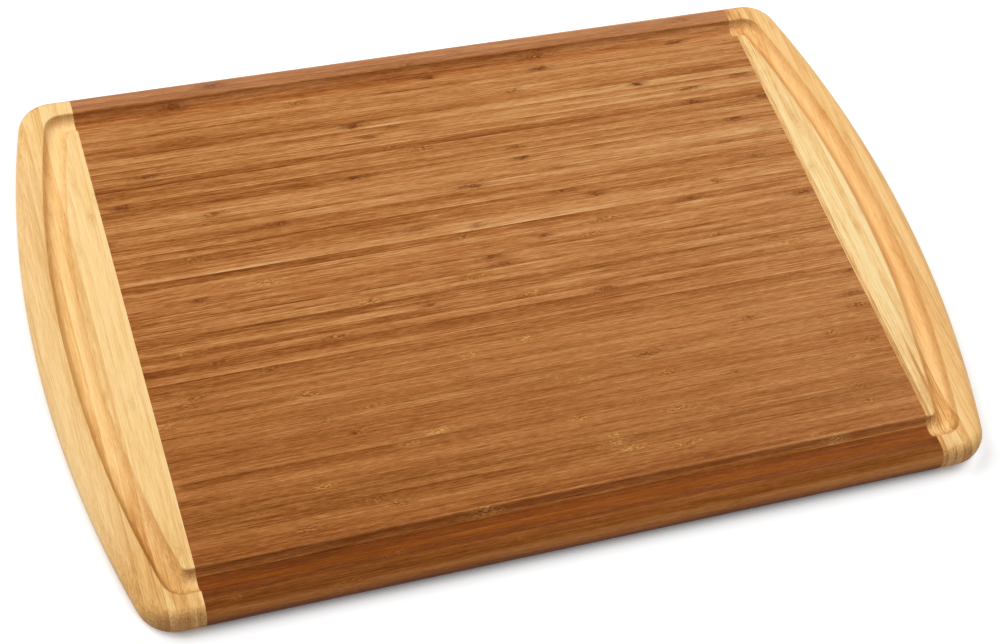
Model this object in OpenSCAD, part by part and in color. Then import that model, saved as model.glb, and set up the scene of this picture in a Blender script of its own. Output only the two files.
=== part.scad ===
// Two-tone laminated cutting board with a juice groove.
// Dark strips on edge run along the middle. A light end of cross-laid strips is keyed to each
// end of them with blind dowels. Both ends bow outwards and every outer edge is rounded.
// X runs along the board, Y across it and Z up from the underside. The origin is under the middle.

/* [Board] */
// Length along X, between the middles of the bowed ends
board_l = 457; // [430:1:480]
// Width along Y
board_w = 305; // [280:1:330]
// Thickness
board_t = 16; // [15:0.5:22]
// Radius of the rounding along the top and bottom edges
edge_r = 7; // [3:0.5:7]
// Radius of the four corners, seen from above
corner_r = 18; // [12:1:26]
// How far each end swells from its corners to its middle
end_bow = 21; // [15:1:26]
// How far each corner is sanded below the edges and faces that it joins
corner_ease = 0.1; // [0.1:0.05:0.3]
// How far the edge is sanded flat between its two roundings
edge_flat = 0.15; // [0.1:0.05:0.3]

/* [Strips] */
// Length of each light end, from its joint to the middle of its bow
end_l = 45.5; // [44:0.5:54]
// Pairs of strips in the dark centre panel, one of each pair on either side of the middle strip
panel_strip_pairs = 36; // [24:1:40]
// Strips in each light end
end_strip_count = 10; // [8:1:12]
// Width of the part strip that lies beside each joint
first_strip_w = 2.4; // [1.8:0.1:4]
// Width of the outermost strip at the middle of the bow, in full strips
last_strip_share = 1.38; // [1.2:0.02:1.6]
// Glue line between neighbouring pieces
glue_line = 0.08; // [0.04:0.02:0.2]

/* [Juice groove] */
// Width of the groove at the top face
groove_w = 13; // [11:0.5:15]
// Depth of the groove
groove_depth = 4.8; // [3:0.1:5.2]
// From a long edge to the middle of the groove
groove_side_inset = 18; // [16:0.5:22]
// From the middle of a bowed end to the middle of the groove
groove_end_inset = 19; // [17:0.5:22]
// Radius of the groove's inner edge where it turns a corner
groove_turn_r = 0.7; // [0.5:0.1:4]
// How much deeper and wider the bit cuts where it dwells in a corner
groove_dwell = 0.1; // [0.1:0.05:0.3]

/* [Blind dowels] */
// Diameter of a dowel
dowel_d = 6; // [4:0.5:6]
// Length of a dowel, half of it on each side of the joint
dowel_l = 28; // [20:1:30]
// Dowels on each side of the middle one
dowel_pairs = 2; // [1:1:2]
// Strips from one dowel to the next
dowel_every = 11; // [8:1:12]
// Clearance all round a dowel in its bore
dowel_fit = 0.1; // [0.05:0.05:0.2]
// Room for glue past each end of a dowel
dowel_room = 0.5; // [0.2:0.1:1]

/* [Hidden] */
$fn = 96;
// Facets in a full turn of the long end arcs, where a viewer draws facets
arc_fn = 256;
// How far a cutting shape reaches past the face that it cuts
past = 1;
// How far neighbouring runs of an edge or a groove overlap
lap = 0.2;

// The bowed end is an arc through the middle of the end and both corners
end_r = (pow(end_bow, 2) + pow(board_w / 2, 2)) / (2 * end_bow);
end_centre_x = board_l / 2 - end_r;
joint_x = board_l / 2 - end_l;
panel_l = 2 * joint_x;

// A corner arc is tangent to a line along the board and to an arc parallel to the bowed end
function corner_y(line_y, radius) = line_y - radius;
function corner_angle(line_y, arc_r, radius) = asin(corner_y(line_y, radius) / (arc_r - radius));
function corner_x(line_y, arc_r, radius) =
    end_centre_x + (arc_r - radius) * cos(corner_angle(line_y, arc_r, radius));

outline_y = board_w / 2;
outline_angle = corner_angle(outline_y, end_r, corner_r);
outline_x = corner_x(outline_y, end_r, corner_r);

// The groove is cut by a round-nosed bit, whose centre runs above the top face
bit_r = (pow(groove_w / 2, 2) + pow(groove_depth, 2)) / (2 * groove_depth);
bit_z = board_t - groove_depth + bit_r;
run_y = outline_y - groove_side_inset;
run_r = end_r - groove_end_inset;
turn_r = bit_r + groove_dwell + groove_turn_r;
turn_angle = corner_angle(run_y, run_r, turn_r);
turn_x = corner_x(run_y, run_r, turn_r);

// Strips share the panel's width and are counted from the middle; the outermost run to the long edge
panel_strips = 2 * panel_strip_pairs + 1;
panel_pitch = board_w / panel_strips;
panel_strip_w = panel_pitch - glue_line;
panel_nodes = min(37, panel_strips);

// Strips share an end's length and are counted from the joint; the outermost runs to the bowed edge
first_end = joint_x + first_strip_w + 1.5 * glue_line;
end_pitch = (board_l / 2 - first_end) / (end_strip_count - 2 + last_strip_share);
end_strip_w = end_pitch - glue_line;
end_nodes = min(10, end_strip_count);

dowel_pitch = dowel_every * panel_pitch;

// A node holds one strip, or a few neighbouring ones where there are more strips than nodes
function first_in_node(index, strips, nodes) = floor(index * strips / nodes);
function strips_in_node(index, strips, nodes) =
    [first_in_node(index, strips, nodes) : first_in_node(index + 1, strips, nodes) - 1];
function numbered(name, index) = str(name, index < 9 ? "_0" : "_", index + 1);
function names(name, count) = [for (index = [0 : count - 1]) numbered(name, index)];

PANEL_NODES = names("centre_strips", panel_nodes);
LEFT_NODES = names("left_end_strip", end_nodes);
RIGHT_NODES = names("right_end_strip", end_nodes);

module both_sides() {
    children();
    mirror([0, 1, 0]) children();
}

// Shape lying in the YZ plane, drawn out along X from the middle of the board
module along_x(length) {
    rotate([90, 0, 90]) linear_extrude(length) children();
}

// Slab from the axis out to reach, with its outer edge rounded above and below a flat band
module rounded_slab(reach) {
    turn = reach + edge_flat - edge_r;
    intersection() {
        square([reach, board_t]);
        union() {
            square([turn, board_t]);
            translate([0, edge_r]) square([reach, board_t - 2 * edge_r]);
            for (height = [edge_r, board_t - edge_r])
                translate([turn, height]) circle(edge_r);
        }
    }
}

// Cross-section of the board between its long edges
module board_section() {
    rounded_slab(outline_y);
    mirror([1, 0]) rounded_slab(outline_y);
}

module grooved_section() {
    difference() {
        board_section();
        for (side = [-1, 1])
            translate([side * run_y, bit_z]) circle(bit_r);
    }
}

// Shape lying in the RZ plane, swept about a point of the board between two angles
module swept(x, y, from, to) {
    translate([x, y, 0])
        rotate(from) rotate_extrude(angle = to - from, $fn = arc_fn) children();
}

// Profile of a corner, from its centre out to its edge
module corner_slab() {
    intersection() {
        rounded_slab(corner_r - corner_ease);
        translate([0, corner_ease]) square([corner_r, board_t - 2 * corner_ease]);
    }
}

// Right-hand part of the board as one blank: straight flanks, bowed end and rounded corners
module end_blank() {
    corner_lap = asin(lap / corner_r);
    along_x(outline_x) board_section();
    swept(end_centre_x, 0, -outline_angle, outline_angle) rounded_slab(end_r);
    both_sides()
        swept(outline_x, corner_y(outline_y, corner_r), outline_angle - corner_lap, 90 + corner_lap)
            corner_slab();
}

// Path of the bit round the right-hand end
module end_groove() {
    run_angle = turn_angle + asin(lap / run_r);
    swept(end_centre_x, 0, -run_angle, run_angle) translate([run_r, bit_z]) circle(bit_r);
    both_sides() {
        along_x(turn_x + lap) translate([run_y, bit_z]) circle(bit_r);
        swept(turn_x, corner_y(run_y, turn_r), turn_angle, 90)
            translate([turn_r, bit_z]) circle(bit_r + groove_dwell);
    }
}

// Rods across the right-hand joint, one to each dowel
module joint_rods(diameter, length) {
    for (index = [-dowel_pairs : dowel_pairs])
        translate([joint_x - length / 2, index * dowel_pitch, board_t / 2])
            rotate([0, 90, 0]) cylinder(d = diameter, h = length);
}

module dowel_bores() {
    joint_rods(dowel_d + 2 * dowel_fit, dowel_l + 2 * dowel_room);
}

// Dark strip, counted from the middle of the panel
module panel_strip(index) {
    inner = index * panel_pitch - panel_strip_w / 2;
    width = abs(index) == panel_strip_pairs ? board_w : panel_strip_w;
    low = index == -panel_strip_pairs ? inner + panel_strip_w - board_w : inner;
    difference() {
        translate([-joint_x + glue_line / 2, 0, 0])
            along_x(panel_l - glue_line)
                intersection() {
                    grooved_section();
                    translate([low, -past]) square([width, board_t + 2 * past]);
                }
        dowel_bores();
        mirror([1, 0, 0]) dowel_bores();
    }
}

module panel_node(index) {
    color("peru")
        for (strip = strips_in_node(index, panel_strips, panel_nodes))
            panel_strip(strip - panel_strip_pairs);
}

// Light strip of the right-hand end, counted from the joint
module end_strip(index) {
    start = index == 0 ? joint_x + glue_line / 2 : first_end + (index - 1) * end_pitch;
    width = index == 0 ? first_strip_w : index == end_strip_count - 1 ? board_l : end_strip_w;
    difference() {
        intersection() {
            end_blank();
            translate([start, -board_w, -past]) cube([width, 2 * board_w, board_t + 2 * past]);
        }
        end_groove();
        dowel_bores();
    }
}

module end_node(index) {
    color("burlywood")
        for (strip = strips_in_node(index, end_strip_count, end_nodes))
            end_strip(strip);
}

module dowels() {
    color("tan") joint_rods(dowel_d, dowel_l);
}

for (index = [0 : panel_nodes - 1])
    panel_node(index);
for (index = [0 : end_nodes - 1])
    mirror([1, 0, 0]) end_node(index);
for (index = [0 : end_nodes - 1])
    end_node(index);
mirror([1, 0, 0]) dowels();  // left_dowels
dowels();  // right_dowels
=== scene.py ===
# %% [markdown]
# # A two-tone bamboo cutting board
#
# The board is glued up from narrow strips of bamboo. Dark strips run along the middle, and a pale
# end of strips laid the other way is joined to each end of them. A juice groove runs round the top,
# and every outer edge is rounded. The solids in the frame give each strip its place. This lesson
# redraws the strips as smooth surfaces, gives them their bamboo, and sets the board on a white table.

# %% Load the solids that everything is fitted to
import math

import bmesh
import bpy
import numpy as np
from mathutils import Matrix


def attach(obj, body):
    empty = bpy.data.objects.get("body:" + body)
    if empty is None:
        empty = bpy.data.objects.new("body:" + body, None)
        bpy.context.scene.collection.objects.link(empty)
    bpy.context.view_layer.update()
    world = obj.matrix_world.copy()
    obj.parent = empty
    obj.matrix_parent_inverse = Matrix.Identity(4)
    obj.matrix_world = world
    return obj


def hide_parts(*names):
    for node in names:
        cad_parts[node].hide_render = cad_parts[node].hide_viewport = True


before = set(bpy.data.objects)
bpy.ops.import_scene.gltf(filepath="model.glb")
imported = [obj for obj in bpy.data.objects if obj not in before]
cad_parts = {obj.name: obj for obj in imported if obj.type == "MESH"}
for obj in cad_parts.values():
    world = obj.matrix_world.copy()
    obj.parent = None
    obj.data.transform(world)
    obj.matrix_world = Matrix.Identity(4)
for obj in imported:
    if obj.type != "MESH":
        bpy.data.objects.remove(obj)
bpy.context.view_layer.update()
print("solids loaded:", len(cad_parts))

# %% [markdown]
# ## The camera
#
# The view is from high over the front left corner, through a lens of about 76 mm. Its place was
# worked out by matching the board's outline, joints and groove to their places in the picture. The
# three directions of a camera are the columns of its matrix, so no angles need to be worked out.

# %% Camera
MM = 0.001
view_right = (0.9413971202, -0.3050465364, 0.1439377388)
view_up = (0.1701606844, 0.7979548231, 0.5781984450)
view_back = (-0.2912332459, -0.5198218069, 0.8030992999)
view_place = (-310.69 * MM, -570.31 * MM, 850.89 * MM)

lens = bpy.data.cameras.new("view")
lens.sensor_fit = "HORIZONTAL"
lens.sensor_width = 36.0
lens.lens = 76.394
camera = bpy.data.objects.new("view", lens)
bpy.context.scene.collection.objects.link(camera)
columns = Matrix((view_right, view_up, view_back)).transposed().to_4x4()
camera.matrix_world = Matrix.Translation(view_place) @ columns
bpy.context.scene.camera = camera
print("camera height in mm:", round(camera.location.z / MM, 1))

# %% [markdown]
# ## The outline and the lines parallel to it
#
# Seen from above, the long sides are straight, the ends are shallow bows, and an arc joins them at
# each corner. The edge rounding and the groove follow the same line further in. A modifier such as
# Bevel could round the edges, but one formula that gives any parallel line keeps the groove and the
# edge exactly parallel, and its points fall where the strips are cut.

# %% Sizes in millimetres, and the bowed line
half_length = 228.5
half_width = 152.5
thickness = 16.0
edge_round = 7.0
corner_round = 18.0
bow_depth = 21.0
bow_radius = (bow_depth**2 + half_width**2) / (2 * bow_depth)
bow_middle = half_length - bow_radius


def bowed(x, side, bow, corner):
    """Half the width, at x, inside a line parallel to the outline.

    The line runs straight at y = side, turns on an arc of radius corner that touches both its
    neighbours, and closes on an arc of radius bow about the point bow_middle on the long axis.
    Past the tip of the bow the width is 0.
    """
    corner_y = side - corner
    turn = np.arcsin(corner_y / (bow - corner))
    corner_x = bow_middle + (bow - corner) * np.cos(turn)
    on_corner = corner_y + np.sqrt(np.maximum(corner**2 - (x - corner_x) ** 2, 0))
    on_bow = np.sqrt(np.maximum(bow**2 - (x - bow_middle) ** 2, 0))
    past_side = np.where(x <= corner_x + corner * np.cos(turn), on_corner, on_bow)
    return np.where(x <= corner_x, side, past_side)


print("radius of the bowed ends in mm:", round(bow_radius, 1))

# %% [markdown]
# ## The profile of the rim
#
# Anywhere along the rim, the surface climbs round the lower edge, round the upper edge, over a flat
# and down into the groove, which a round-nosed cutter left, and out again. Each row below is one
# line that runs all round the board at its own height. The lips of the groove are eased by
# about a millimetre, as sanding leaves them, so that they catch the light as a soft line.

# %% Rows of the rim, from the underside to the inner lip of the groove
bit_radius = 6.801
groove_floor = 11.2
groove_from_side = 18.0
groove_from_end = 19.0
groove_corner = 4.0
inner_corner = 3.5
lip_ease = 1.1
under_rows, lip_rows, bed_rows = 10, 6, 29

cutter = bit_radius - lip_ease
cutter_height = groove_floor + cutter
groove_side = half_width - groove_from_side
groove_bow = bow_radius - groove_from_end

quarter = np.linspace(0, np.pi / 2, under_rows)
inset = edge_round * (1 - np.cos(quarter))
rise = edge_round * np.sin(quarter)

lip_drop = cutter_height - thickness + lip_ease
lip_reach = np.sqrt((cutter + lip_ease) ** 2 - lip_drop**2)
lip_turn = np.arctan2(lip_reach, lip_drop)
lip = np.linspace(0, lip_turn, lip_rows)
bed = np.linspace(lip_turn, -lip_turn, bed_rows)[1:-1]
lip_out = lip_reach - lip_ease * np.sin(lip)
lip_height = thickness - lip_ease * (1 - np.cos(lip))
bed_height = cutter_height - cutter * np.cos(bed)
groove_out = np.concatenate([lip_out, cutter * np.sin(bed), -lip_out[::-1]])
groove_height = np.concatenate([lip_height, bed_height, lip_height[::-1]])
groove_turn = np.maximum(groove_corner + groove_out, inner_corner)

rim_in = np.concatenate([inset[::-1], inset])
rim_side = np.concatenate([half_width - rim_in, groove_side + groove_out])
rim_bow = np.concatenate([bow_radius - rim_in, groove_bow + groove_out])
rim_corner = np.concatenate([corner_round - rim_in, groove_turn])
edge_height = np.concatenate([edge_round - rise[::-1], thickness - edge_round + rise])
rim_height = np.concatenate([edge_height, groove_height])
print("rows in the rim:", len(rim_side))
print("depth of the groove:", round(thickness - groove_height.min(), 2))

# %% [markdown]
# ## From points to a closed shell
#
# A strip is a row of closed loops of points with a lid on the first and the last loop. Blender's
# bridge tool could join the loops, but the faces of a grid follow from its numbering alone. Loops
# can close up to a line, as they do at the tip of a bow, so points that fall together are merged
# and the normals are worked out afresh.

# %% A mesh from loops of points
# In metres, as bmesh counts: points this close are one point, edges this short have no length.
same_point = 2e-6
no_length = 1e-6


def closed_shell(loops):
    """Quads between each pair of neighbouring loops, and a lid on the first and last loop."""
    count, around, _ = loops.shape
    index = np.arange(count * around).reshape(count, around)
    ahead = np.roll(index, -1, axis=1)
    quads = np.stack([index[:-1], ahead[:-1], ahead[1:], index[1:]], axis=2).reshape(-1, 4)
    shell = bpy.data.meshes.new("shell")
    lids = [index[0, ::-1].tolist(), index[-1].tolist()]
    shell.from_pydata((loops.reshape(-1, 3) * MM).tolist(), [], quads.tolist() + lids)
    work = bmesh.new()
    work.from_mesh(shell)
    bmesh.ops.remove_doubles(work, verts=work.verts, dist=same_point)
    bmesh.ops.dissolve_degenerate(work, edges=work.edges, dist=no_length)
    bmesh.ops.recalc_face_normals(work, faces=work.faces)
    work.to_mesh(shell)
    work.free()
    return shell


square = np.array([[0.0, 0.0], [1.0, 0.0], [1.0, 1.0], [0.0, 1.0]])
block = closed_shell(np.stack([np.insert(square, 2, height, axis=1) for height in (0.0, 1.0)]))
print("faces on a block of two square loops:", len(block.polygons))
bpy.data.meshes.remove(block)

# %% [markdown]
# ## From shells to a piece
#
# A piece stands for one node of the frame, which holds one strip or two neighbours. It rides on the
# board's only body. Flat shading would show every row of the rim and smooth shading alone would
# blur the sawn faces, so the shading is smooth with a limit on the angle.

# %% A piece from its shells
crisp_angle = math.radians(32)


def strip_piece(name, shells, node):
    """One piece out of one or more closed shells, which stands for a solid of the frame."""
    work = bmesh.new()
    for shell in shells:
        work.from_mesh(shell)
        bpy.data.meshes.remove(shell)
    mesh = bpy.data.meshes.new(name)
    work.to_mesh(mesh)
    work.free()
    mesh.polygons.foreach_set("use_smooth", np.ones(len(mesh.polygons), dtype=bool))
    mesh.set_sharp_from_angle(angle=crisp_angle)
    piece = bpy.data.objects.new(name, mesh)
    bpy.context.scene.collection.objects.link(piece)
    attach(piece, "root")
    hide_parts(node)
    return piece


print("edges are crisp from", round(math.degrees(crisp_angle)), "degrees on")

# %% [markdown]
# ## The pale ends
#
# Each end is ten strips that run across the board, from a narrow one at the joint to the last one,
# which tapers to nothing along the bow. A strip is drawn as slices of the board at closely spaced
# places along its length, and each slice is one loop: out along the underside, up the profile of the
# rim, in along the top, and the same again on the other side. Boolean cuts would give the same
# shape with ragged triangles, and the slices give even rows that shade smoothly. They crowd towards
# the tip of the last strip, where the outline turns fastest.

# %% Strips of the ends
joint = 183.0
first_width = 2.48
second_strip = 185.52
pitches_to_tip = 9.38
strips_per_end = 10
slices_per_strip = 33
end_pitch = (half_length - second_strip) / pitches_to_tip
inner_cuts = joint + first_width + end_pitch * np.arange(strips_per_end - 1)
end_cuts = np.concatenate([[joint], inner_cuts, [half_length]])


def end_slices(x):
    """Loops round the board at each x.

    Row j of the rim stands at y = bowed(x) for its own side, bow and corner, at its own height.
    Where x is past the tip of a row, the row lies on the long axis, at the height that the profile
    has at that distance from the middle of the bow.
    """
    x = x[:, None]
    reach = x - bow_middle
    under = np.interp(reach, rim_bow[:under_rows], rim_height[:under_rows])
    over = np.interp(reach, rim_bow[: under_rows - 1 : -1], rim_height[: under_rows - 1 : -1])
    middle = np.where(np.arange(len(rim_bow)) < under_rows, under, over)
    y = bowed(x, rim_side, rim_bow, rim_corner)
    z = np.where(reach >= rim_bow, middle, rim_height)
    half_y = np.hstack([0 * x, y, 0 * x])
    half_z = np.hstack([under, z, over])
    loop_y = np.hstack([half_y, -half_y[:, -2:0:-1]])
    loop_z = np.hstack([half_z, half_z[:, -2:0:-1]])
    return np.stack([np.broadcast_to(x, loop_y.shape), loop_y, loop_z], axis=2)


end_pieces = []
from_tip = 1 - np.linspace(0, 1, slices_per_strip)
for side_name, direction in (("left", -1), ("right", 1)):
    for number in range(strips_per_end):
        low, high = end_cuts[number : number + 2]
        crowding = 2 if number == strips_per_end - 1 else 1
        slices = end_slices(high - (high - low) * from_tip**crowding)
        slices[..., 0] *= direction
        name = f"{side_name}_pale_strip_{number + 1:02d}"
        node = f"{side_name}_end_strip_{number + 1:02d}"
        end_pieces.append(strip_piece(name, [closed_shell(slices)], node))
print("pale strips:", len(end_pieces), "faces in the last:", len(end_pieces[-1].data.polygons))

# %% [markdown]
# ## The dark centre
#
# The centre is 73 strips that stand on edge, side by side, and run from joint to joint. The section
# of the board is the same all along them, so each strip is the part of that section between two
# cuts, drawn out along the board. The groove and the rounded edges cross several strips each, so a
# plain box for each strip would not do.

# %% Strips of the centre
strip_count = 73
piece_count = 37
station_count = 13
clear_of_cut = 0.01
strip_pitch = 2 * half_width / strip_count
section_y = rim_side[under_rows:][::-1]
section_top = rim_height[under_rows:][::-1]
edge_y = rim_side[:under_rows]
edge_under = rim_height[:under_rows]


def centre_slices(low, high, x):
    """Loops of the strip between y = low and y = high, one at each x.

    The points along the top and the underside are the cuts, two points between them, and every row
    of the rim that falls inside. Their heights are read off the section of the board.
    """
    rows = np.concatenate([section_y, -section_y, edge_y, -edge_y])
    rows = rows[(rows > low + clear_of_cut) & (rows < high - clear_of_cut)]
    y = np.unique(np.round(np.concatenate([np.linspace(low, high, 4), rows]), 5))
    top = np.interp(np.abs(y), section_y, section_top)
    under = np.interp(np.abs(y), edge_y, edge_under)
    loop_y = np.concatenate([y, y[::-1]])
    loop_z = np.concatenate([under, top[::-1]])
    loops = np.empty((len(x), len(loop_y), 3))
    loops[..., 0] = x[:, None]
    loops[..., 1] = loop_y
    loops[..., 2] = loop_z
    return loops


centre_pieces = []
stations = np.linspace(-joint, joint, station_count)
first_strips = np.arange(piece_count + 1) * strip_count // piece_count
for number in range(piece_count):
    shells = []
    for strip in range(first_strips[number], first_strips[number + 1]):
        low = -half_width + strip * strip_pitch
        shells.append(closed_shell(centre_slices(low, low + strip_pitch, stations)))
    name = f"dark_strips_{number + 1:02d}"
    node = f"centre_strips_{number + 1:02d}"
    centre_pieces.append(strip_piece(name, shells, node))
print("dark pieces:", len(centre_pieces), "strip width:", round(strip_pitch, 2))

# %% [markdown]
# ## Writing a finish
#
# A finish is a tree of nodes, and most of its nodes are sums. They could be placed and linked by hand
# in the shader editor, but there are hundreds. The small helper below adds a node for each call and
# hands back its output, so that a finish reads like a formula.

# %% Paint and sums
def paint(red, green, blue):
    """Linear colour, by the sRGB curve, of a paint given as it looks on a screen, from 0 to 255."""
    screen = np.array([red, green, blue]) / 255
    linear = np.where(screen <= 0.04045, screen / 12.92, ((screen + 0.055) / 1.055) ** 2.4)
    return (*linear.tolist(), 1.0)


class Sums:
    """A material whose nodes are added one call at a time."""

    def __init__(self, name):
        self.material = bpy.data.materials.new(name)
        self.material.use_nodes = True
        self.tree = self.material.node_tree

    def put(self, socket, value):
        """Link a socket to another node's output, or set a plain value on the socket itself."""
        if isinstance(value, bpy.types.NodeSocket):
            self.tree.links.new(value, socket)
        else:
            socket.default_value = value

    def shade(self, values):
        """Hand the finished patterns and plain values to the shader."""
        for key, value in values.items():
            self.put(self.tree.nodes["Principled BSDF"].inputs[key], value)

    def node(self, kind, inputs, **settings):
        """A new node with its inputs and its settings."""
        node = self.tree.nodes.new(kind)
        for key, value in settings.items():
            setattr(node, key, value)
        for key, value in inputs.items():
            self.put(node.inputs[key], value)
        return node

    def math(self, operation, *values):
        """One sum, by the name that Blender's Math node has for it."""
        return self.node("ShaderNodeMath", dict(enumerate(values)), operation=operation).outputs[0]

    def add(self, *values):
        """All values added up."""
        total = values[0]
        for value in values[1:]:
            total = self.math("ADD", total, value)
        return total

    def times(self, *values):
        """All values multiplied."""
        total = values[0]
        for value in values[1:]:
            total = self.math("MULTIPLY", total, value)
        return total

    def length(self, first, second):
        """Square root of the sum of two squares."""
        return self.math("SQRT", self.add(self.times(first, first), self.times(second, second)))


print("paint 128 is", round(paint(128, 128, 128)[0], 3), "in linear light")

# %% [markdown]
# ### Patterns and colours
#
# A pattern is a sum that depends on the place. All of the patterns read the piece's own coordinates
# in millimetres, so they keep their scale on every strip and run on from one strip to the next. An
# unwrapped map would break them at every seam.

# %% Patterns and colours
class Finish(Sums):
    """A material with the patterns and colours of wood."""

    def step(self, value, low, high):
        """0 up to low and 1 from high on, with a smooth rise between; it falls where high < low."""
        inputs = {"Value": value, "From Min": low, "From Max": high}
        node = self.node("ShaderNodeMapRange", inputs, interpolation_type="SMOOTHSTEP")
        return node.outputs["Result"]

    def noise(self, x, y, z, detail=2.0, roughness=0.5):
        """Soft noise about 0, from about -0.5 to 0.5, at the point x, y, z."""
        point = self.node("ShaderNodeCombineXYZ", {0: x, 1: y, 2: z}).outputs[0]
        inputs = {"Vector": point, "Scale": 1.0, "Detail": detail, "Roughness": roughness}
        return self.math("SUBTRACT", self.node("ShaderNodeTexNoise", inputs).outputs[0], 0.5)

    def chance(self, number):
        """Three numbers from 0 to 1 that belong to a strip's number."""
        drawn = self.node("ShaderNodeTexWhiteNoise", {"W": number}, noise_dimensions="1D")
        return self.node("ShaderNodeSeparateColor", {0: drawn.outputs["Color"]}).outputs[:3]

    def ramp(self, value, stops):
        """The colour between the two stops that a value falls between."""
        node = self.node("ShaderNodeValToRGB", {0: value})
        elements = node.color_ramp.elements
        while len(elements) < len(stops):
            elements.new(0.5)
        for element, (place, colour) in zip(elements, stops):
            element.position = place
            element.color = colour
        return node.outputs[0]

    def changed(self, level, changes):
        """A level plus each named change: an amount times the patterns that say where it holds."""
        for amount, *where in changes.values():
            level = self.add(level, self.times(*where, amount))
        return level

    def coated(self, colour, coats):
        """A colour under each named coat: its share, its own colour, and MIX or MULTIPLY."""
        for share, coat, blend_type in coats.values():
            inputs = {0: share, 6: colour, 7: coat}
            node = self.node("ShaderNodeMix", inputs, data_type="RGBA", blend_type=blend_type)
            colour = node.outputs[2]
        return colour

    def place(self):
        """The point on the piece, in millimetres, and the normal there."""
        where = self.node("ShaderNodeTexCoord", {})
        inputs = {0: where.outputs["Object"], "Scale": 1.0 / MM}
        scaled = self.node("ShaderNodeVectorMath", inputs, operation="SCALE")
        x, y, z = self.node("ShaderNodeSeparateXYZ", {0: scaled.outputs[0]}).outputs
        return x, y, z, self.node("ShaderNodeSeparateXYZ", {0: where.outputs["Normal"]}).outputs


print("patterns and colours:", [name for name in vars(Finish) if not name.startswith("_")])

# %% [markdown]
# ## Bamboo
#
# A strip of bamboo on edge shows the wall of the stem from the skin inwards. Its fibres lie close
# and dark by the skin and thin out across the strip, so every strip fades from a dark edge to a pale
# one, and strips are glued either way round. At each joint of the stem there is a short scar,
# speckled dark and pale, that the fibres bend round. An image could show this, but it would have to
# be unwrapped for each strip, while a formula of the strip's number and the place along it needs
# nothing. The scars come first, because the lines need to know where to bend.

# %% Scars of the stem
shortest_stem, longest_stem = 115.0, 215.0
shortest_scar, longest_scar = 3.0, 8.0
scar_width = 1.7
raggedness = 2.6
longest_shift = 900.0
draw_per_scar = 7.7


def stem_scars(finish, spot, share, width, strip):
    """Scars of the stem at a spot along, across and up a strip, one stem joint apart.

    A scar is a soft oval: the distance from its middle, counted in scar lengths along the strip and
    scar widths across it, plus noise that makes its rim ragged. halo: 1 in the oval and close round
    it. scar: how far the scar shows. flecks: noise that mottles it. paleness: a number from 0 to 1
    that the whole scar shares.
    """
    along, across, height = spot
    gap = finish.math("MULTIPLY_ADD", strip["stem"], longest_stem - shortest_stem, shortest_stem)
    shifted = finish.math("MULTIPLY_ADD", strip["start"], longest_shift, along)
    stem = finish.math("DIVIDE", shifted, gap)
    from_scar = finish.times(finish.math("SUBTRACT", finish.math("FRACT", stem), 0.5), gap)
    scar_number = finish.add(finish.times(finish.math("FLOOR", stem), draw_per_scar), strip["own"])
    strength, spread, paleness = finish.chance(scar_number)
    middle = finish.math("MULTIPLY_ADD", strip["offset"], 0.5, 0.25)
    off_middle = finish.times(finish.math("SUBTRACT", share, middle), width)
    scar_length = finish.math("MULTIPLY_ADD", spread, longest_scar - shortest_scar, shortest_scar)
    lengths_away = finish.math("DIVIDE", from_scar, scar_length)
    widths_away = finish.math("DIVIDE", off_middle, scar_width)

    through = finish.math("MULTIPLY_ADD", height, 0.6, strip["own"])
    ragged = finish.noise(finish.times(along, 0.35), across, through, 3.0, 0.6)
    oval = finish.length(lengths_away, widths_away)
    oval = finish.add(oval, finish.times(ragged, raggedness))
    halo = finish.step(oval, 2.4, 0.5)
    core = finish.step(oval, 1.1, 0.1)
    depth = finish.math("MULTIPLY_ADD", core, 0.6, finish.times(halo, 0.4))
    scar = finish.times(depth, finish.step(strength, 0.0, 0.55))
    fleck_across, fleck_up = finish.times(across, 1.9), finish.times(through, 1.9)
    flecks = finish.noise(finish.times(along, 0.5), fleck_across, fleck_up, 2.0, 0.6)
    return dict(halo=halo, scar=scar, flecks=flecks, paleness=paleness)


print("scars lie", shortest_stem, "to", longest_stem, "mm apart along a strip")

# %% [markdown]
# ### Bands and lines
#
# The rest of the pattern is noise that is drawn out along the strip, more for fibres, less for
# pores. Wave textures would give lines too, but they repeat. Each strip shifts the noise by a
# number of its own, so that no two strips look alike. Both bamboos share this formula, and a list
# of amounts says how strongly each pattern shows.

# %% One formula for both bamboos
first_draw, second_draw = 0.37, 91.7
shift_per_strip = 17.31


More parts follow.
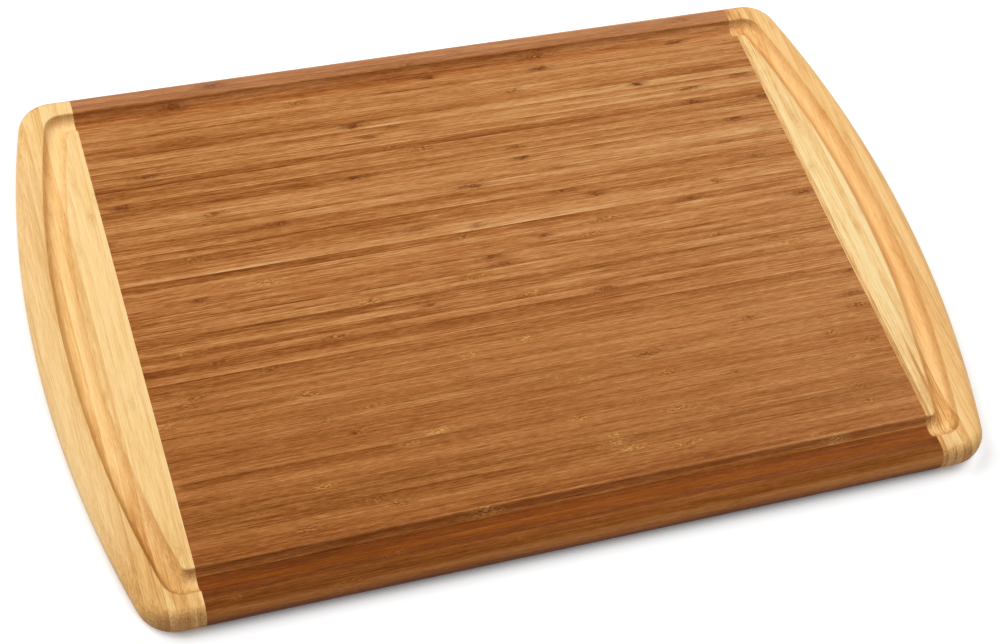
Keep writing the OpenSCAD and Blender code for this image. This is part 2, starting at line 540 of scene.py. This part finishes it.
def bamboo(finish, spot, number, share, width, look):
    """Patterns of the bamboo at a spot along, across and up a strip.

    bands: the strip's own shade, the fade from its skin, a slow drift, streaks a few centimetres
    long, dashes, the glue line and a line beside it, each times its amount in look, added up.
    lines: fibres and short pores, added up in the same way. warmth: a number from 0 to 1 that the
    whole strip shares. The patterns of stem_scars are handed on.
    """
    along, across, height = spot
    shade, turned, stem = finish.chance(finish.add(number, first_draw))
    start, warmth, offset = finish.chance(finish.add(number, second_draw))
    own = finish.times(number, shift_per_strip)
    strip = dict(own=own, stem=stem, start=start, offset=offset)
    scars = stem_scars(finish, spot, share, width, strip)
    bend = finish.times(scars["halo"], finish.noise(finish.times(along, 0.2), own, 0.0), 2.0)
    wander = finish.noise(finish.times(along, 0.012), own, 3.0, 1.0)
    bent = finish.add(across, bend, finish.times(wander, 1.2))

    def grain(stretch, fineness, roughness):
        """Noise drawn out along the strip: a small stretch is long, a large fineness is thin."""
        along_it = finish.add(finish.times(along, stretch), own)
        across_it, up_it = finish.times(bent, fineness), finish.times(height, fineness)
        return finish.noise(along_it, across_it, up_it, 3.0, roughness)

    def dashes(stretch, layer, low, high):
        """Short lines where a layer of drawn-out noise rises past low."""
        along_it = finish.add(finish.times(along, stretch), own)
        return finish.step(finish.noise(along_it, finish.times(bent, 1.3), layer), low, high)

    def patches(stretch, layer, low, high):
        """1 in some stretches of the strip and 0 in the others, from a layer of noise."""
        return finish.step(finish.noise(finish.times(along, stretch), own, layer), low, high)

    flip = finish.math("GREATER_THAN", turned, 0.5)
    other_way = finish.math("MULTIPLY_ADD", share, -2.0, 1.0)
    skin = finish.add(share, finish.times(flip, other_way))
    from_skin = finish.math("SUBTRACT", 0.45, finish.math("POWER", skin, 1.6))
    by_glue = finish.step(finish.math("PINGPONG", share, 0.5), 0.05, 0.0)
    beside_glue = finish.times(finish.step(share, 0.0, 0.06), finish.step(share, 0.2, 0.1))
    some_strips = finish.step(offset, 0.6, 0.9)
    broad = dict(
        shade=finish.math("SUBTRACT", shade, 0.5),
        fade=finish.times(from_skin, patches(0.012, 5.0, -0.25, 0.2)),
        drift=finish.noise(finish.times(along, 0.008), own, finish.times(height, 0.02), 1.0),
        streaks=grain(0.055, 1.1, 0.6),
        pale_dash=dashes(0.022, 9.0, 0.1, 0.26),
        dark_dash=dashes(0.02, 21.0, 0.12, 0.28),
        glue=finish.times(by_glue, patches(0.02, 13.0, -0.2, 0.2)),
        edge_line=finish.times(beside_glue, some_strips, patches(0.01, 31.0, -0.1, 0.1)),
    )
    fine = dict(fibres=grain(0.014, 2.2, 0.6), pores=grain(0.2, 2.2, 0.7))
    bands = finish.add(*[finish.times(broad[name], look[name]) for name in broad])
    lines = finish.add(*[finish.times(fine[name], look[name]) for name in fine])
    return dict(scars, **fine, bands=bands, lines=lines, warmth=warmth)


print("lines bend round scars of", shortest_scar, "to", longest_scar, "mm")

# %% [markdown]
# ### Oil
#
# The board is oiled, not varnished. Oil leaves a satin surface that is a little uneven, and it
# doesn't fill the wood, so pores and scars can still be felt. A clear coat on the shader would look
# like varnish, so the roughness varies instead, and a fine bump follows the fibres.

# %% Oiled surface
even_roughness = 0.52
smudges_per_mm = 0.03


def oiled(finish, point, wood, colour, rougher, gloss, relief_strength, relief_depth):
    """Satin oil over bamboo.

    Roughness: an even level, plus smudges a few centimetres wide, plus the pores, plus rougher.
    Relief: fibres and pores rise and fall and scars sink, by about relief_depth metres.
    """
    smudge = finish.noise(*[finish.times(value, smudges_per_mm) for value in point])
    uneven = dict(smudges=(0.16, smudge), pores=(0.12, wood["pores"]))
    heights = dict(pores=(0.4, wood["pores"]), scars=(-0.3, wood["scar"]))
    relief = finish.changed(finish.times(wood["fibres"], 0.6), heights)
    inputs = {"Strength": relief_strength, "Distance": relief_depth, "Height": relief}
    finish.shade(
        {
            "Base Color": colour,
            "Specular IOR Level": gloss,
            "Roughness": finish.add(finish.changed(even_roughness, uneven), rougher),
            "Normal": finish.node("ShaderNodeBump", inputs).outputs[0],
        }
    )


print("roughness of the oil:", even_roughness)

# %% [markdown]
# ## Dark bamboo
#
# Steaming turns bamboo brown all through. The centre is this brown, from red-brown lines to honey.
# The strips of the front rim are darker, and painted shade makes a dark line along the lower edges,
# where the board stands in its own shadow. Painted light makes the board lighter towards the right,
# and towards the back, where part of the change is the strips' own tone, and it makes the front face
# lighter towards its top. All of these are read off the place on the board and added to the strip's
# own tone, because that keeps one finish for all strips, where a material for each strip would
# make 73.

# %% Tone of the centre
dark = Finish("dark_bamboo")
x, y, z, _ = dark.place()
place_across = dark.math("DIVIDE", dark.add(y, half_width), strip_pitch)
number = dark.math("FLOOR", place_across)
share = dark.math("FRACT", place_across)
dark_look = dict(
    shade=0.2, fade=0.22, drift=0.36, streaks=0.66, pale_dash=0.2, dark_dash=-0.1, glue=-0.13,
    edge_line=0.16, fibres=0.66, pores=0.74,
)
wood = bamboo(dark, (x, y, z), number, share, strip_pitch, dark_look)

front_rim_strips = 5
in_front = dark.math("LESS_THAN", number, front_rim_strips - 0.5)
front_face = dark.times(dark.math("LESS_THAN", number, 0.5), dark.step(z, 15.0, 13.0))
front_top = dark.math("SUBTRACT", in_front, front_face)
middle_band = dark.times(dark.step(y, -45.0, -15.0), dark.step(y, 60.0, 30.0))
livelier = dict(back=(0.43, dark.step(y, -55.0, -10.0)), middle=(0.1, middle_band))
contrast = dark.changed(0.7, livelier)
calm_bands = dark.math("MULTIPLY_ADD", in_front, -0.3, 1.0)
calm_lines = dark.math("MULTIPLY_ADD", in_front, -0.4, 1.0)
painted_shade_edge_band = dark.step(dark.math("ABSOLUTE", y), 146.0, 150.0)
tone = dark.changed(
    0.485,
    dict(
        bands=(1.0, contrast, wood["bands"], calm_bands),
        lines=(1.0, wood["lines"], calm_lines),
        # Painted light: lighter towards the right, and towards the back, where part of the change is
        # the strips' own tone.
        towards_back=(0.0007, y),
        painted_light_towards_right=(0.0004, x),
        back_part=(-0.05, dark.step(y, 70.0, 100.0)),
        front_top=(-0.2, front_top),
        front_right=(-0.06, in_front, dark.step(x, 0.0, 150.0)),
        # Painted light: the front face is lighter towards its top.
        painted_light_front_face=(0.08, front_face, dark.step(z, 2.0, 9.0)),
        # Painted shade: a dark line along the lower edges, where the board stands in shadow.
        painted_shade_lower_edges=(-0.6, painted_shade_edge_band, dark.step(z, 13.0, 3.5)),
    ),
)
strip_changes = {1: -0.01, 2: -0.05, 3: 0.12, 5: 0.06, 69: -0.08}
for strip, change in strip_changes.items():
    tone = dark.add(tone, dark.times(dark.math("COMPARE", number, strip, 0.1), change))
print("strips with a tone of their own:", list(strip_changes))

# %% [markdown]
# ### Colour of the dark bamboo
#
# A ramp turns the tone into colour, and coats change it where the wood differs: some strips are
# warmer, scars are mottled and the front rim is yellower. One more coat is a painted sheen, which
# makes the back rim paler and greyer. Coats are quicker to set right than a second ramp, because each
# one has a place and a share.

# %% Finish of the centre
honey = [
    (0.0, paint(94, 46, 6)),
    (0.25, paint(143, 82, 27)),
    (0.5, paint(182, 118, 62)),
    (0.75, paint(209, 152, 94)),
    (1.0, paint(229, 182, 126)),
]
scar_brown = [
    (0.0, paint(106, 52, 14)),
    (0.4, paint(142, 80, 30)),
    (0.7, paint(190, 126, 60)),
    (1.0, paint(224, 172, 106)),
]
mottle = dark.changed(
    0.18,
    dict(
        flecks=(2.2, wood["flecks"]),
        paleness=(0.5, wood["paleness"]),
        towards_back=(-0.0014, y),
        in_front=(-0.35, in_front),
    ),
)
scars_fade = dict(in_front=(-0.6, in_front), back_face=(-0.7, dark.step(y, 147.0, 151.0)))
scar_share = dark.times(wood["scar"], dark.changed(1.0, scars_fade))
front_flat = dark.times(in_front, dark.step(y, -147.0, -143.5))
# Painted sheen: the back rim is made paler and greyer.
painted_sheen_back_rim = dark.step(y, 140.0, 142.0)
colour = dark.coated(
    dark.ramp(tone, honey),
    dict(
        warm_strips=(dark.times(wood["warmth"], 0.2), paint(232, 172, 120), "MULTIPLY"),
        scars=(scar_share, dark.ramp(mottle, scar_brown), "MIX"),
        front_flat=(dark.times(front_flat, 0.45), paint(250, 228, 155), "MULTIPLY"),
        painted_sheen_back_rim=(dark.times(painted_sheen_back_rim, 0.3), paint(185, 135, 105), "MIX"),
    ),
)
rough_scars = dark.times(wood["scar"], 0.08)
oiled(
    dark, (x, y, z), wood, colour, rough_scars, gloss=0.09, relief_strength=0.35, relief_depth=0.00012
)
for piece in centre_pieces:
    piece.data.materials.append(dark.material)
print("nodes in the dark finish:", len(dark.tree.nodes))

# %% [markdown]
# ## Pale bamboo
#
# The ends are bamboo in its own colour. Their strips are numbered from the joint outwards, and those
# of the right end get numbers of their own, so that the ends don't mirror each other. The groove
# follows the bow, so the distance from the middle of the bow tells a groove's wall from its bed and
# from the rim. Painting these places by hand on a mask would work too, but the distance is exact.

# %% Places on the ends
def from_bow_middle(finish, x, y):
    """Distance of a point from the middle that the bow of its end turns about."""
    out = finish.math("SUBTRACT", finish.math("ABSOLUTE", x), bow_middle)
    return finish.length(out, y)


right_numbers = 40.0
pale = Finish("pale_bamboo")
x, y, z, facing = pale.place()
on_right = pale.math("GREATER_THAN", x, 0.0)
on_left = pale.math("SUBTRACT", 1.0, on_right)
from_joint = pale.math("SUBTRACT", pale.math("ABSOLUTE", x), joint + first_width)
place_across = pale.math("DIVIDE", from_joint, end_pitch)
number = pale.add(pale.math("FLOOR", place_across), pale.times(on_right, right_numbers))
share = pale.math("FRACT", place_across)
pale_look = dict(
    shade=0.24, fade=0.18, drift=0.45, streaks=0.8, pale_dash=0.14, dark_dash=-0.2, glue=-0.12,
    edge_line=0.08, fibres=0.6, pores=0.55,
)
wood = bamboo(pale, (y, x, z), number, share, end_pitch, pale_look)

off_groove = pale.math("SUBTRACT", from_bow_middle(pale, x, y), groove_bow)
# Painted shade in the bed of the left groove, towards the front.
painted_shade_left_bed = pale.times(on_left, pale.step(pale.math("ABSOLUTE", off_groove), 6.5, 4.5))
# The groove and rim of the right end are darker: partly their own tone, partly painted shade.
right_rim_tone_and_shade = pale.times(on_right, pale.step(off_groove, -7.5, -5.0))
by_right_joint = pale.times(pale.step(x, 200.0, 190.0), on_right)
beside_right_joint = pale.math("COMPARE", number, right_numbers - 1, 0.1)
print("groove on the ends, in mm from the middle of the bow:", round(groove_bow, 1))

# %% [markdown]
# ### Tone of the pale bamboo
#
# The ends are not even. The strips beside the right joint are browner and more lined, above all
# towards the front, and the groove and rim of the right end are darker, partly their own tone and
# partly painted shade. Painted shade darkens the left end a little towards its front, and the bed of
# its groove there, and its front corner is a little darker still. Painted light makes both ends
# lighter towards the right. Brown lines part the strips where the saw crossed them at the right front
# corner. As on the centre, each of these is a named change to one tone.

# %% Tone of the ends
saw_draw = 5.5
heavy = pale.chance(pale.add(number, saw_draw))[0]
strip_edge = pale.step(pale.math("PINGPONG", share, 0.5), 0.16, 0.03)
at_saw = pale.times(pale.step(x, 214.0, 202.0), on_right, pale.step(y, -124.0, -136.0))
sawn_lines = pale.times(strip_edge, at_saw, heavy, 1.5)
front_part = pale.times(pale.step(y, -40.0, -100.0), pale.step(y, -138.0, -126.0))
browner = dict(front=(0.38, front_part), back=(0.1, pale.step(y, 50.0, 100.0)))
near_corners = pale.changed(0.03, browner)
lined = pale.math("MULTIPLY_ADD", by_right_joint, 0.9, 1.0)
left_corner = pale.times(pale.step(y, -110.0, -138.0), pale.step(x, -188.0, -200.0))
tone = pale.changed(
    0.6,
    dict(
        grain=(1.0, lined, pale.add(wood["bands"], wood["lines"])),
        # Painted light: the ends are lighter towards the right.
        painted_light_towards_right=(0.0004, x),
        beside_right_joint=(-0.28, beside_right_joint),
        by_right_joint=(-1.0, by_right_joint, near_corners),
        right_rim_tone_and_shade=(-0.13, right_rim_tone_and_shade),
        sawn_lines=(-0.24, sawn_lines),
        # Painted shade: the left end is darker towards the front.
        left_front=(-0.12, on_left, pale.step(y, -75.0, -120.0)),
        painted_shade_left_bed=(-0.2, painted_shade_left_bed, pale.step(y, -60.0, -115.0)),
        left_corner=(-0.09, left_corner),
    ),
)
straw = [
    (0.0, paint(200, 140, 72)),
    (0.3, paint(231, 179, 107)),
    (0.6, paint(250, 207, 139)),
    (1.0, paint(254, 226, 165)),
]
straw_colour = pale.ramp(tone, straw)
print("stops in the ramp of straw:", len(straw))

# %% [markdown]
# ### Cut ends of the fibres
#
# The fibres of the pale ends run across the board, so the long sides of the board cut them off.
# There the ends of the fibres show as dots, which drink more oil and look darker. The normal tells
# how far a place faces along the fibres, so the cut colour comes in by itself round the edge.

# %% Colour of the cut ends
cut_ends = pale.step(pale.math("ABSOLUTE", facing[1]), 0.1, 1.0)
dots = pale.noise(pale.times(x, 2.6), pale.times(y, 0.1), pale.times(z, 2.6), 2.0, 0.6)
at_front = pale.step(y, -100.0, -140.0)
cut_tone = pale.changed(
    0.46,
    dict(
        bands=(1.2, wood["bands"]),
        lines=(0.6, wood["lines"]),
        dots=(0.4, dots),
        sawn_lines=(-0.36, sawn_lines),
        left_front=(-0.25, at_front, on_left),
        right_front=(-0.1, at_front, on_right),
    ),
)
cut_straw = [(0.1, paint(150, 99, 50)), (0.5, paint(208, 155, 92)), (0.9, paint(234, 187, 120))]
cut_colour = pale.ramp(cut_tone, cut_straw)
print("stops in the ramp of cut straw:", len(cut_straw))

# %% [markdown]
# ### Walls, rims and edges of the ends
#
# Painted shade makes the walls of the groove browner, more on the outer wall of the left end and the
# inner wall of the right one. A painted sheen makes the rim of the left end paler. The rim of the
# right end is a little warmer and darker, partly its own tone and partly painted shade, and painted
# shade darkens the lower edge all round. Each is a coat over the straw colour, which the shader could
# also get from a ramp for each place, but coats can lie over one another.

# %% Finish of the ends
scar_straw = [(0.1, paint(184, 116, 52)), (0.5, paint(222, 160, 88)), (0.9, paint(249, 206, 138))]
scar_colour = pale.ramp(pale.changed(0.45, dict(flecks=(1.5, wood["flecks"]))), scar_straw)
# Painted shade on the steep walls of the groove, which makes them browner.
outer_half = pale.times(pale.step(off_groove, 0.0, 1.0), pale.step(off_groove, 7.2, 6.2))
painted_shade_outer_wall = pale.times(outer_half, pale.step(facing[2], 0.95, 0.6))
outer_shade_amounts = dict(front=(0.3, pale.step(y, -20.0, -90.0)), right=(-0.38, on_right))
outer_share = pale.times(painted_shade_outer_wall, pale.changed(0.5, outer_shade_amounts))
inner_half = pale.times(pale.step(off_groove, -7.0, -6.0), pale.step(off_groove, 1.0, -3.0))
inner_shade_amounts = dict(front=(-0.35, pale.step(y, -50.0, -90.0)))
inner_share = pale.times(on_right, inner_half, pale.changed(0.5, inner_shade_amounts))
away_from_corners = pale.step(pale.math("ABSOLUTE", y), 125.0, 100.0)
# Painted sheen: the rim of the left end is made paler and greyer.
painted_sheen_left_rim = pale.times(pale.step(off_groove, 6.5, 8.0), away_from_corners, on_left)
on_side = pale.step(pale.math("ABSOLUTE", facing[2]), 0.95, 0.6)
# Painted shade: the lower edge is darker all round.
painted_shade_lower_rim = pale.times(pale.step(z, 12.0, 3.0), on_side)
colour = pale.coated(
    straw_colour,
    dict(
        scars=(pale.times(wood["scar"], 0.5), scar_colour, "MIX"),
        painted_shade_outer_wall=(outer_share, paint(212, 192, 164), "MULTIPLY"),
        painted_shade_inner_wall=(inner_share, paint(220, 178, 128), "MULTIPLY"),
        painted_sheen_left_rim=(pale.times(painted_sheen_left_rim, 0.15), paint(236, 206, 160), "MIX"),
        # Warmer, darker rim on the right: partly its own tone, partly painted shade.
        right_rim_tone_and_shade=(pale.times(right_rim_tone_and_shade, 0.7), paint(255, 243, 232), "MULTIPLY"),
        cut_ends=(pale.times(cut_ends, 0.9), cut_colour, "MIX"),
        painted_shade_lower_rim=(pale.times(painted_shade_lower_rim, 0.7), paint(178, 166, 150), "MULTIPLY"),
    ),
)
rough_ends = pale.times(cut_ends, 0.1)
oiled(
    pale, (x, y, z), wood, colour, rough_ends, gloss=0.2, relief_strength=0.3, relief_depth=0.0001
)
for piece in end_pieces:
    piece.data.materials.append(pale.material)
print("nodes in the pale finish:", len(pale.tree.nodes))

# %% [markdown]
# ## Dowels
#
# The dowels are hidden in the joints, so their solids stay as they are. They still get the finish of
# turned hardwood, with fine lines along them, for a view with the joint pulled apart. A plain colour
# would do for what is hidden, but then it would look unfinished there.

# %% Finish of the dowels
turned = Finish("turned_dowel")
x, y, z, _ = turned.place()
lines = turned.noise(turned.times(x, 0.06), turned.times(y, 2.2), turned.times(z, 2.2), 4.0, 0.6)
flecks = turned.noise(turned.times(x, 0.5), turned.times(y, 6.0), turned.times(z, 6.0), 2.0)
tone = turned.changed(0.5, dict(lines=(0.8, lines), flecks=(0.4, flecks)))
hardwood = [(0.1, paint(172, 132, 88)), (0.5, paint(206, 170, 124)), (0.9, paint(224, 194, 150))]
bump = turned.node("ShaderNodeBump", {"Strength": 0.3, "Distance": 0.0001, "Height": lines})
turned.shade(
    {
        "Base Color": turned.ramp(tone, hardwood),
        "Roughness": turned.changed(0.6, dict(flecks=(0.15, flecks))),
        "Normal": bump.outputs[0],
    }
)
dowel_nodes = [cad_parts[name] for name in ("left_dowels", "right_dowels")]
for dowels in dowel_nodes:
    for slot in dowels.material_slots:
        slot.material = turned.material
print("dowel slots:", [len(dowels.material_slots) for dowels in dowel_nodes])

# %% [markdown]
# ## The table
#
# The board lies on a white table, which isn't part of it. A backdrop that curves up behind would
# hide the far edge of a small table, but a flat one that reaches far enough does as well. It lies a
# hair below the board, so that no two surfaces share a place.

# %% Table
reach = 4.0
top = -0.1 * MM
table_mesh = bpy.data.meshes.new("table")
corner_signs = ((-1, -1), (1, -1), (1, 1), (-1, 1))
table_corners = [(reach * right, reach * back, top) for right, back in corner_signs]
table_mesh.from_pydata(table_corners, [], [(0, 1, 2, 3)])
table = bpy.data.objects.new("table", table_mesh)
bpy.context.scene.collection.objects.link(table)
print("table width in metres:", 2 * reach)

# %% [markdown]
# ### White of the table
#
# The table's material adds a little glow, which only the camera and reflections see: it makes the
# table white in the picture and puts no light on the board, where brighter lamps would bleach the
# wood. The glow comes in at the edge of the board, so that the shadow under it stays, and it is set
# a little differently in the shade at the front.

# %% Finish of the table
def seen_rays(tree):
    """1 for what the camera sees, straight, mirrored or through glass, and 0 for light on things."""
    ray = tree.nodes.new("ShaderNodeLightPath")
    seen = ray.outputs["Is Camera Ray"]
    for kind in ("Is Glossy Ray", "Is Transmission Ray"):
        either = tree.nodes.new("ShaderNodeMath")
        either.operation = "MAXIMUM"
        tree.links.new(seen, either.inputs[0])
        tree.links.new(ray.outputs[kind], either.inputs[1])
        seen = either.outputs[0]
    return seen


white = Finish("white_table")
x, y, *_ = white.place()
seen = seen_rays(white.tree)
past_bow = white.math("SUBTRACT", from_bow_middle(white, x, y), bow_radius)
past_side = white.math("SUBTRACT", white.math("ABSOLUTE", y), half_width)
from_bow = white.math("MAXIMUM", white.add(past_bow, corner_round), 0.0)
from_side = white.math("MAXIMUM", white.add(past_side, corner_round), 0.0)
apart = white.math("SUBTRACT", white.length(from_bow, from_side), corner_round)
under_edge = white.step(apart, -3.7, 2.5)
in_shade = white.step(y, -130.0, -160.0)
glow = white.changed(
    0.0,
    dict(
        beside_board=(0.34, under_edge),
        shade_at_edge=(0.16, in_shade, under_edge),
        shade_beside=(-0.22, in_shade, white.step(apart, 3.0, 10.0)),
        shade_clear=(0.06, in_shade, white.step(apart, 10.0, 60.0)),
        far_off=(0.6, white.step(apart, 200.0, 2000.0)),
    ),
)
table_white = dict(as_seen=(seen, paint(242, 244, 244), "MIX"))
white.shade(
    {
        "Base Color": white.coated(paint(248, 249, 249), table_white),
        "Roughness": 0.9,
        "Emission Color": (1.0, 1.0, 1.0, 1.0),
        "Emission Strength": white.times(seen, glow),
    }
)
table_mesh.materials.append(white.material)
print("nodes in the white of the table:", len(white.tree.nodes))

# %% [markdown]
# ## Lamps and room
#
# Two soft lamps stand behind the board, a large one on the left and a small one on the right, so that
# both ends of the groove show a shaded wall and the shadow falls to the front. A weak lamp in front
# lifts the near edge. A picture of a room could light the scene too, but lamps can be set one by one.
# The room itself is white to the eye and dim as a light, so that shadows keep their depth.

# %% Lamps and world
def soft_lamp(name, place, size, power):
    """Square lamp at a place in metres, turned to face the middle of the board."""
    light = bpy.data.lights.new(name, "AREA")
    light.shape = "SQUARE"
    light.size = size
    light.energy = power
    lamp = bpy.data.objects.new(name, light)
    bpy.context.scene.collection.objects.link(lamp)
    lamp.location = place
    lamp.rotation_euler = (-lamp.location).to_track_quat("-Z", "Y").to_euler()


soft_lamp("left_lamp", place=(-1.1, 0.6, 1.5), size=1.3, power=25.2)
soft_lamp("right_lamp", place=(1.0, 0.5, 1.3), size=0.8, power=10.3)
soft_lamp("front_lamp", place=(0.0, -1.2, 0.7), size=0.6, power=2.4)

world = bpy.data.worlds.new("room")
bpy.context.scene.world = world
world.use_nodes = True
room = world.node_tree
sky = room.nodes["Background"]
sky.inputs["Color"].default_value = (1.0, 1.0, 1.0, 1.0)
room_as_light, room_as_seen = 0.2, 1.0
level = room.nodes.new("ShaderNodeMapRange")
level.inputs["To Min"].default_value = room_as_light
level.inputs["To Max"].default_value = room_as_seen
room.links.new(seen_rays(room), level.inputs["Value"])
room.links.new(level.outputs["Result"], sky.inputs["Strength"])
bpy.context.scene.view_settings.view_transform = "Standard"

# %% [markdown]
# ## The box of the solids
#
# The redrawn board has to stay in the box of the solids.
